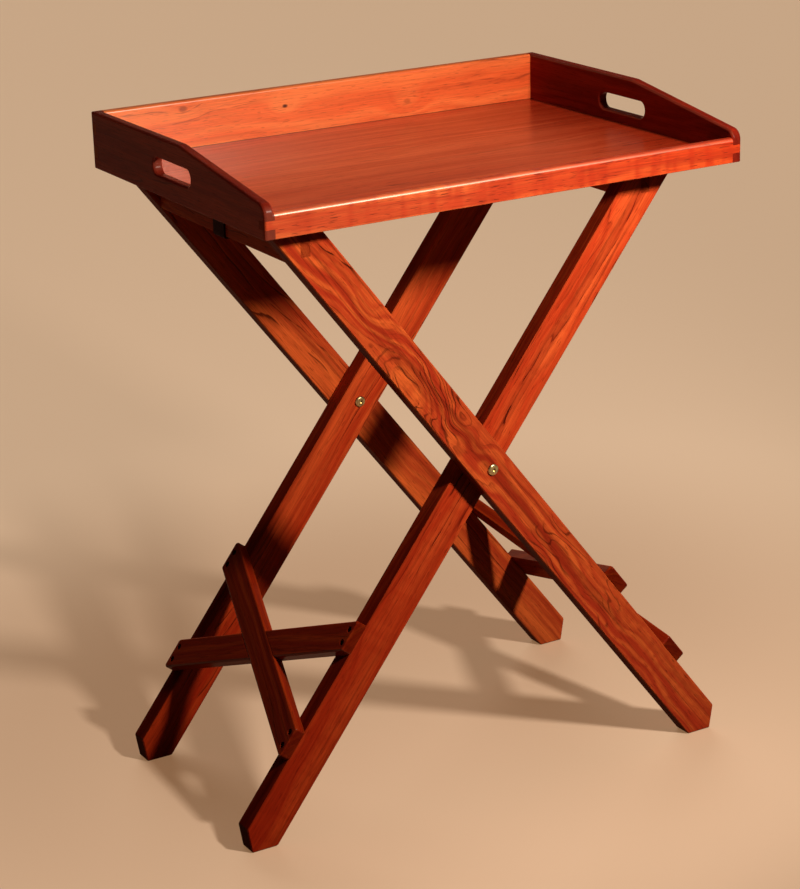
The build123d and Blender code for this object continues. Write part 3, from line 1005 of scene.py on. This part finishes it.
@dataclass
class LegFrame:
    """One leg frame of the stand, in mm: two legs, a top rail and two crossed brace bars with their screws."""

    body: str
    prefix: str
    # 1 where the legs run down to the right and -1 to the left, and half of the width over the legs.
    side: int
    half_span: float
    seed: float
    screw_seed: int
    # Look of the legs, with a painted shade tint towards the feet.
    stain: Stain
    foot_shade: str
    ring: float
    curl: float
    swirls: tuple[tuple[float, float, float, float], ...] = ()
    burrs: tuple[Burr, ...] = ()
    slope: float = math.radians(52.488)
    leg_width: float = 51.0
    # The bars, with how far below the pivot along the legs their upper and lower ends lie.
    brace_thickness: float = 14.0
    brace_upper: float = 258.09
    brace_lower: float = 408.05
    screw_pitch: float = 18.0
    screw_from_end: float = 8.5
    counterbore_depth: float = 6.0
    screw_head_height: float = 2.4
    screw_profile: tuple[Pair, ...] = ((0.0, 0.0), (3.3, 0.0), (3.7, -0.25), (2.0, -2.4), (2.0, -26.0), (0.0, -28.0))
    recess_reach: float = 2.1
    recess_floor: float = -1.5

    def down(self) -> Vector:
        """Direction down the legs."""
        return Vector((self.side * math.cos(self.slope), 0.0, -math.sin(self.slope)))

    def out(self) -> Vector:
        """Direction out of the legs' upper narrow faces."""
        return Vector((self.side * math.sin(self.slope), 0.0, math.cos(self.slope)))

    def across(self) -> Vector:
        """Direction across the frame, the third of its axes."""
        return self.out().cross(self.down())

    def bar_direction(self, way: int) -> Vector:
        """Direction along a brace bar: way is 1 for the bar that laps over the other, and -1 for the one under it."""
        drop = (self.brace_lower - self.brace_upper) * way
        return (self.down() * drop + self.across() * 2 * self.half_span).normalized()

    def screw_seats(self) -> list[Seat]:
        """Seats of the brace screws.

        Returns:
            Seat in metres and outward axis of each screw.
        """
        level = self.leg_width / 2 + self.brace_thickness - self.counterbore_depth + self.screw_head_height
        middle = (self.brace_upper + self.brace_lower) / 2
        reach = self.half_span - self.screw_from_end
        lean = (self.brace_lower - self.brace_upper) / (2 * self.half_span)
        seats = []
        for way in (1, -1):
            for end in (-reach, reach):
                for step in (-self.screw_pitch / 2, self.screw_pitch / 2):
                    place = Vector((0.0, 0.0, PIVOT_HEIGHT))
                    place += self.down() * (middle + end * lean * way + step)
                    place += self.across() * end + self.out() * level
                    seats.append((place * MM, self.out()))
        return seats

    def dress(self) -> list[Piece]:
        """Dress the legs, the top rail and the brace bars.

        Returns:
            The dressed boards.
        """
        name = f"stained_rosewood_{self.prefix}_"
        boards = [dress(f"{self.prefix}_leg_{place}", wood) for place, wood in self._legs(name + "leg_").items()]
        rail = Wood(name + "rail", BACK, RIGHT, OUTER_STAIN, (self.seed, 90.0, 33.0))
        boards.append(dress(f"{self.prefix}_top_rail", rail))
        # The brace bars are darkened all over as painted shade.
        for word, way, shift in (("over", 1, 61.0), ("under", -1, 17.0)):
            boards.append(dress(f"{self.prefix}_brace_{word}", Wood(
                f"{name}brace_{word}", tuple(self.bar_direction(way)), tuple(self.out()), OUTER_STAIN,
                (self.seed * 2, shift, 12.0), ring_mm=4.5, lines=0.4, near_shade_tint=BRACE_SHADE, far_shade_tint=BRACE_SHADE,
                coat=0.25, coat_roughness=0.2,
            )))
        return boards

    def _legs(self, name: str) -> dict[str, Wood]:
        """Wood of the front leg, which is the more strongly figured, and of the back leg.

        Args:
            name: First part of the woods' names.

        Returns:
            The wood for each place.
        """
        pivot = Vector((0.0, -self.half_span, PIVOT_HEIGHT))
        swirls = tuple(
            Knot(tuple(pivot + self.down() * place + self.out() * aside), reach, lift)
            for place, aside, reach, lift in self.swirls
        )
        # Painted shade darkens the legs' narrow faces and, where set, the legs towards the feet.
        both = partial(
            Wood, grain=tuple(self.down()), face=FRONT, stain=self.stain, streaks=0.5, far_shade_tint=self.foot_shade,
            edge_shade_tint=LEG_EDGE_SHADE,
        )
        return {
            "front": both(
                name + "front", seed=(self.seed, 20.0, 5.0), ring_mm=self.ring, wander_mm=13.0, curl_mm=self.curl,
                lines=0.9, bands=1.0, calmest=0.6, far_lines=0.45, flame=0.3, pores=0.5, knots=swirls, burrs=self.burrs,
            ),
            "back": both(name + "back", seed=(self.seed + 300.0, 75.0, 9.0), ring_mm=5.5, lines=0.65),
        }

    def build_screws(self, material: Material) -> Piece:
        """Set the brace screws in their counterbores.

        Args:
            material: Finish of the screws.

        Returns:
            The screws.
        """
        screw = Fastener(self.screw_profile, DriveRecess.CROSS, self.recess_reach, self.recess_floor)
        return FastenerRow(
            f"{self.prefix}_screws", self.body, "screw_steel", screw, self.screw_seats(),
            (f"{self.prefix}_brace_screws",), self.screw_seed,
        ).build(material)


@dataclass
class Pivots:
    """The two brass pivots, in mm: a bolt in a sleeve nut through each pair of legs, domed at both ends."""

    outer_face: float = 187.5
    inner_face: float = 135.3
    head_radius: float = 7.2
    head_height: float = 3.4
    head_edge: float = 1.1
    head_ease: float = 0.25
    land_radius: float = 2.9
    shank_radius: float = 4.4
    shank_length: float = 20.0
    socket_reach: float = 2.3
    socket_depth: float = 1.8
    dome_steps: int = 8
    segments: int = 48
    seed: int = 3

    def build(self, material: Material) -> list[Piece]:
        """Build the four heads and dress the washers.

        Args:
            material: The brass.

        Returns:
            The heads and the washers.
        """
        rise = self.head_height - self.head_edge
        spread = self.head_radius - self.land_radius
        dome = [
            (self.land_radius + spread * math.sin(a), self.head_edge + rise * math.cos(a))
            for a in quarter_turn(self.dome_steps)
        ]
        lower = [
            (self.head_radius, self.head_ease),
            (self.head_radius - self.head_ease, 0.0),
            (self.shank_radius, 0.0),
            (self.shank_radius, -self.shank_length),
            (0.0, -self.shank_length),
        ]
        head = Fastener(
            ((0.0, self.head_height), *dome, *lower), DriveRecess.HEX, self.socket_reach,
            self.head_height - self.socket_depth, self.segments,
        )
        seats = []
        for end in (-1, 1):
            for face, way in ((self.outer_face, end), (self.inner_face, -end)):
                seats.append((Vector((0.0, end * face, PIVOT_HEIGHT)) * MM, Vector((0, way, 0))))
        nodes = [f"pivot_{part}_{place}" for part in ("bolt", "sleeve") for place in ("front", "back")]
        row = FastenerRow("pivot_heads", "outer_frame", "brass", head, seats, tuple(nodes), self.seed)
        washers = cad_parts["pivot_washers"]
        washers.data.materials.clear()
        washers.data.materials.append(material)
        return [row.build(material), washers]


@dataclass
class StayStrap:
    """The webbing strap that holds the stand open, tacked to the outer face of both top rails, in mm."""

    width: float = 30.0
    thickness: float = 2.3
    # The rails that it goes round, with its slack below them and beside the right one, and a gap that keeps it clear.
    rail_face: float = 255.6
    slack: float = 0.3
    gap: float = 0.05
    rail_bottom: float = 722.0
    tab_top: float = 764.0
    bend: float = 2.4
    bend_steps: int = 6
    edge_steps: int = 5
    flat_steps: int = 8
    run_step: float = 6.0
    # How far past the rails' faces the bending starts and ends.
    blend_past: float = 10.0
    tack_pitch: float = 16.0
    tack_level: float = 755.0
    tack_rise: float = 0.2
    tack_radius: float = 3.4
    tack_dome: float = 1.4
    tack_shank: tuple[Pair, ...] = ((3.2, -0.05), (0.8, -0.05), (0.8, -7.5), (0.0, -8.7))
    tack_steps: int = 7
    tack_segments: int = 24
    tack_seed: int = 11

    def route(self) -> np.ndarray:
        """Middle line of the strap in its XZ plane.

        Returns:
            Points in mm from the top of the left tab to the top of the right one.
        """
        half = self.thickness / 2
        left = -self.rail_face - half - self.gap
        right = self.rail_face + self.slack + half + self.gap
        low = self.rail_bottom - self.slack - half
        turn = low + self.bend
        arc = quarter_turn(self.bend_steps)
        line = [(left, z) for z in np.arange(self.tab_top, turn, -self.run_step)]
        line += [(left + self.bend * (1 - math.cos(a)), low + self.bend * (1 - math.sin(a))) for a in arc]
        line += [(x, low) for x in np.arange(left + self.bend + self.run_step, right - self.bend, self.run_step)]
        line += [(right - self.bend * (1 - math.sin(a)), low + self.bend * (1 - math.cos(a))) for a in arc]
        line += [(right, z) for z in np.arange(turn + self.run_step, self.tab_top, self.run_step)]
        line.append((right, self.tab_top))
        return np.array(line)

    def section(self) -> np.ndarray:
        """Cross-section of the webbing: flat, with soft round edges.

        Returns:
            Points in mm, across the strap and out of its face, in order.
        """
        half, deep = self.width / 2, self.thickness / 2
        arc = np.linspace(-math.pi / 2, math.pi / 2, self.edge_steps)
        flats = np.linspace(-half + deep, half - deep, self.flat_steps + 1)[1:-1]
        right = np.column_stack((half - deep + deep * np.cos(arc), deep * np.sin(arc)))
        top = np.column_stack((flats[::-1], np.full(len(flats), deep)))
        bottom = np.column_stack((flats, np.full(len(flats), -deep)))
        return np.vstack((right, top, -right, bottom))

    def mesh(self) -> Mesh:
        """Run the section along the route.

        Returns:
            The strap's mesh, with a UV map in metres along and across it.
        """
        line, section = self.route(), self.section()
        tangent = np.gradient(line, axis=0)
        tangent /= np.linalg.norm(tangent, axis=1)[:, None]
        outward = np.column_stack((tangent[:, 1], -tangent[:, 0]))
        run = np.concatenate(([0.0], np.cumsum(np.linalg.norm(np.diff(line, axis=0), axis=1))))
        shape = bmesh.new()
        weave = shape.loops.layers.uv.new(STRAP_UV)
        rings = []
        for place, out in zip(line, outward):
            spots = [(place + out * deep, across) for across, deep in section]
            rings.append([shape.verts.new((x * MM, across * MM, z * MM)) for (x, z), across in spots])
        for step in range(len(rings) - 1):
            for k in range(len(section)):
                turn = (k + 1) % len(section)
                corners = ((step, k), (step, turn), (step + 1, turn), (step + 1, k))
                quad = shape.faces.new([rings[ring][spot] for ring, spot in corners])
                for loop, (ring, spot) in zip(quad.loops, corners):
                    loop[weave].uv = (run[ring] * MM, section[spot][0] * MM)
        for ring in (rings[0], rings[-1]):
            shape.faces.new(ring)
        return closed_mesh(shape, "stay_strap")

    def build(self, material: Material) -> Piece:
        """Weave the strap.

        Args:
            material: The webbing.

        Returns:
            The strap.
        """
        mesh = self.mesh()
        mesh.materials.append(material)
        piece = into_scene("stay_strap", mesh)
        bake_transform(piece)
        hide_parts("strap")
        return piece

    def build_tacks(self, material: Material) -> list[Piece]:
        """Drive the tacks through both tabs.

        Args:
            material: Blued steel.

        Returns:
            The tacks of each tab.
        """
        arc = quarter_turn(self.tack_steps)
        dome = [(self.tack_radius * math.sin(a), self.tack_dome * math.cos(a)) for a in arc]
        tack = Fastener((*dome, *self.tack_shank), segments=self.tack_segments)
        tacks = []
        for word, side, body, slack in (("left", -1, "outer_frame", 0.0), ("right", 1, "inner_frame", self.slack)):
            face = side * (self.rail_face + slack + self.thickness + self.tack_rise)
            seats = [
                (Vector((face, y, self.tack_level)) * MM, Vector((side, 0, 0)))
                for y in (-self.tack_pitch / 2, self.tack_pitch / 2)
            ]
            tacks.append(FastenerRow(
                f"tacks_{word}", body, "tack_steel", tack, seats, (f"strap_tacks_{word}",), self.tack_seed
            ).build(material))
        return tacks


@dataclass
class Studio:
    """Plain pale floor, soft light and a camera at the photograph's angle, in metres."""

    camera_place: Point = (-1.4992, -2.5550, 1.4329)
    yaw: float = math.radians(30.08)
    pitch: float = math.radians(-19.05)
    roll: float = math.radians(-1.61)
    focal_px: float = 2470.96
    image_px: tuple[int, int] = (800, 889)
    sensor_mm: float = 36.0
    sight: float = 200.0
    floor_reach: float = 40.0
    floor_drop: float = 0.0004
    # The floor's glow near the table and from where it is pale, and its colour to the eye and in the light it returns.
    floor_near: str = "#866345"
    floor_far: str = "#B89879"
    shade_reach: float = 0.45
    pale_from: float = 1.3
    floor_paint: str = "#BEAB97"
    floor_bounce: str = "#3A322C"
    key_place: Point = (0.315, -1.24, 1.318)
    key_aim: Point = (0.0, 0.0, 0.62)
    key_width: float = 0.14
    key_cone: float = math.radians(84.0)
    key_blend: float = 0.6
    key_power: float = 106.0
    key_tint: str = "#FFEDDC"
    back_way: Point = (0.30, 0.86, 0.42)
    back_spread: float = math.radians(40.0)
    back_power: float = 1.2
    back_tint: str = "#FFF4EA"
    fill_power: float = 0.02
    fill_tint: str = "#F3ECE4"
    # The backdrop and the dimness overhead, and the heights between which one fades into the other.
    backdrop: str = "#C7A686"
    overhead: str = "#3A332C"
    overhead_rise: Pair = (0.02, 0.2)

    def build(self) -> None:
        """Set up the floor, the lamps, the world and the camera.

        The key lamp hangs close in front on the right, so that its light fades towards the feet, and the distant lamp
        behind leaves no glare.
        """
        self._floor()
        key = self._lamp(
            "key_light", "SPOT", Vector(self.key_place) - Vector(self.key_aim), self.key_tint, energy=self.key_power,
            shadow_soft_size=self.key_width / 2, spot_size=self.key_cone, spot_blend=self.key_blend,
        )
        key.location = self.key_place
        key.visible_camera = False
        back = self._lamp(
            "back_light", "SUN", Vector(self.back_way), self.back_tint, energy=self.back_power, angle=self.back_spread
        )
        back.visible_glossy = False
        self._world()
        self._camera()

    def _floor(self) -> None:
        """Lay the floor, which shows the shadow near the table, pales further out, and gives little light back."""
        reach = self.floor_reach
        corners = [(-reach, -reach, 0), (reach, -reach, 0), (reach, reach, 0), (-reach, reach, 0)]
        mesh = bpy.data.meshes.new("studio_floor")
        mesh.from_pydata(corners, [], [(0, 1, 2, 3)])
        material, add = new_material("studio_paper")
        away = add(VECTOR, (add(COORDS).outputs["Object"],), operation="LENGTH")
        share = add(RANGE, (away, self.shade_reach, self.pale_from), **SMOOTH)
        pale = add(MIX, (share, linear(self.floor_near), linear(self.floor_far)), **COLOURS)
        seen = add(MATH, (1.0, add("ShaderNodeLightPath").outputs["Is Diffuse Ray"]), operation="SUBTRACT")
        paint = add(MIX, (seen, linear(self.floor_bounce), linear(self.floor_paint)), **COLOURS)
        lit = add("ShaderNodeBsdfDiffuse", {"Color": paint})
        glow = add("ShaderNodeEmission", {"Color": pale, "Strength": seen})
        add(OUTPUT, (add("ShaderNodeAddShader", (lit, glow)),))
        mesh.materials.append(material)
        floor = into_scene("studio_floor", mesh)
        floor.location.z = -self.floor_drop

    def _lamp(self, name: str, kind: str, way: Vector, tint: str, **settings: float) -> Piece:
        """Hang a lamp.

        Args:
            name: Name of the lamp.
            kind: Blender's name for its type.
            way: Direction from what it lights to the lamp.
            tint: Colour of its light.
            settings: Its power and sizes by attribute name.

        Returns:
            The lamp.
        """
        data = bpy.data.lights.new(name, kind)
        data.color = linear(tint)[:3]
        for setting, value in settings.items():
            setattr(data, setting, value)
        lamp = into_scene(name, data)
        lamp.rotation_mode = "QUATERNION"
        lamp.rotation_quaternion = way.to_track_quat("Z", "Y")
        return lamp

    def _world(self) -> None:
        """Give a low even fill from all sides, and show a pale backdrop, which is dim overhead in reflections."""
        world = bpy.data.worlds.new("studio_fill")
        world.use_nodes = True
        world.node_tree.nodes.clear()
        add = partial(add_node, world.node_tree)
        path = add("ShaderNodeLightPath").outputs
        mirrored = add(MATH, (1.0, path["Is Camera Ray"]), operation="SUBTRACT")
        height = add(SPLIT, (add(COORDS).outputs["Generated"],)).outputs["Z"]
        height = add(MATH, (add(RANGE, (height, *self.overhead_rise)), mirrored), operation="MULTIPLY")
        backdrop = add(MIX, (height, linear(self.backdrop), linear(self.overhead)), **COLOURS)
        shown = add("ShaderNodeBackground", {"Color": backdrop, "Strength": 1.0})
        fill = add("ShaderNodeBackground", {"Color": linear(self.fill_tint), "Strength": self.fill_power})
        share = add(MATH, (1.0, path["Is Diffuse Ray"]), operation="SUBTRACT")
        add("ShaderNodeOutputWorld", (add("ShaderNodeMixShader", (share, fill, shown)),))
        bpy.context.scene.world = world

    def _camera(self) -> None:
        """Place the camera by the view that was worked out from the object's corners."""
        ahead = Vector((
            math.sin(self.yaw) * math.cos(self.pitch),
            math.cos(self.yaw) * math.cos(self.pitch),
            math.sin(self.pitch),
        ))
        right = Vector((math.cos(self.yaw), -math.sin(self.yaw), 0.0))
        up = right.cross(ahead)
        turned_right = right * math.cos(self.roll) + up * math.sin(self.roll)
        turned_up = up * math.cos(self.roll) - right * math.sin(self.roll)
        data = bpy.data.cameras.new("photo_view")
        data.sensor_fit = "AUTO"
        data.sensor_width = self.sensor_mm
        data.lens = self.focal_px * self.sensor_mm / max(self.image_px)
        data.clip_end = self.sight
        camera = into_scene("photo_view", data)
        axes = Matrix((turned_right, turned_up, -ahead)).transposed().to_4x4()
        axes.translation = Vector(self.camera_place)
        camera.matrix_world = axes
        bpy.context.scene.camera = camera


def main() -> None:
    """Build the table's looks piece by piece."""
    logging.basicConfig(level=logging.INFO, format="%(message)s")
    bpy.context.scene.view_settings.view_transform = "Standard"
    screw_steel = SCREW_STEEL.build()
    pieces = Tray().dress()
    outer = LegFrame(
        "outer_frame", "outer", side=1, half_span=187.5, seed=130.0, screw_seed=7, stain=OUTER_STAIN, foot_shade=NO_TINT,
        ring=4.4, curl=3.5, swirls=LEG_SWIRLS, burrs=LEG_BURRS,
    )
    # The inner legs are darkened towards the feet as painted shade.
    inner = LegFrame(
        "inner_frame", "inner", side=-1, half_span=160.9, seed=470.0, screw_seed=19, stain=INNER_STAIN,
        foot_shade="#C09A90", ring=6.5, curl=2.5,
    )
    for leg_frame in (outer, inner):
        pieces += leg_frame.dress()
        pieces.append(leg_frame.build_screws(screw_steel))
    pieces += Pivots().build(BRASS.build())
    strap = StayStrap()
    pieces.append(strap.build(Webbing().build()))
    pieces += strap.build_tacks(TACK_STEEL.build())
    for piece in pieces:
        LOG.info("piece %s: %d faces", piece.name, len(piece.data.polygons))
    Studio().build()


if __name__ == "__main__":
    main()
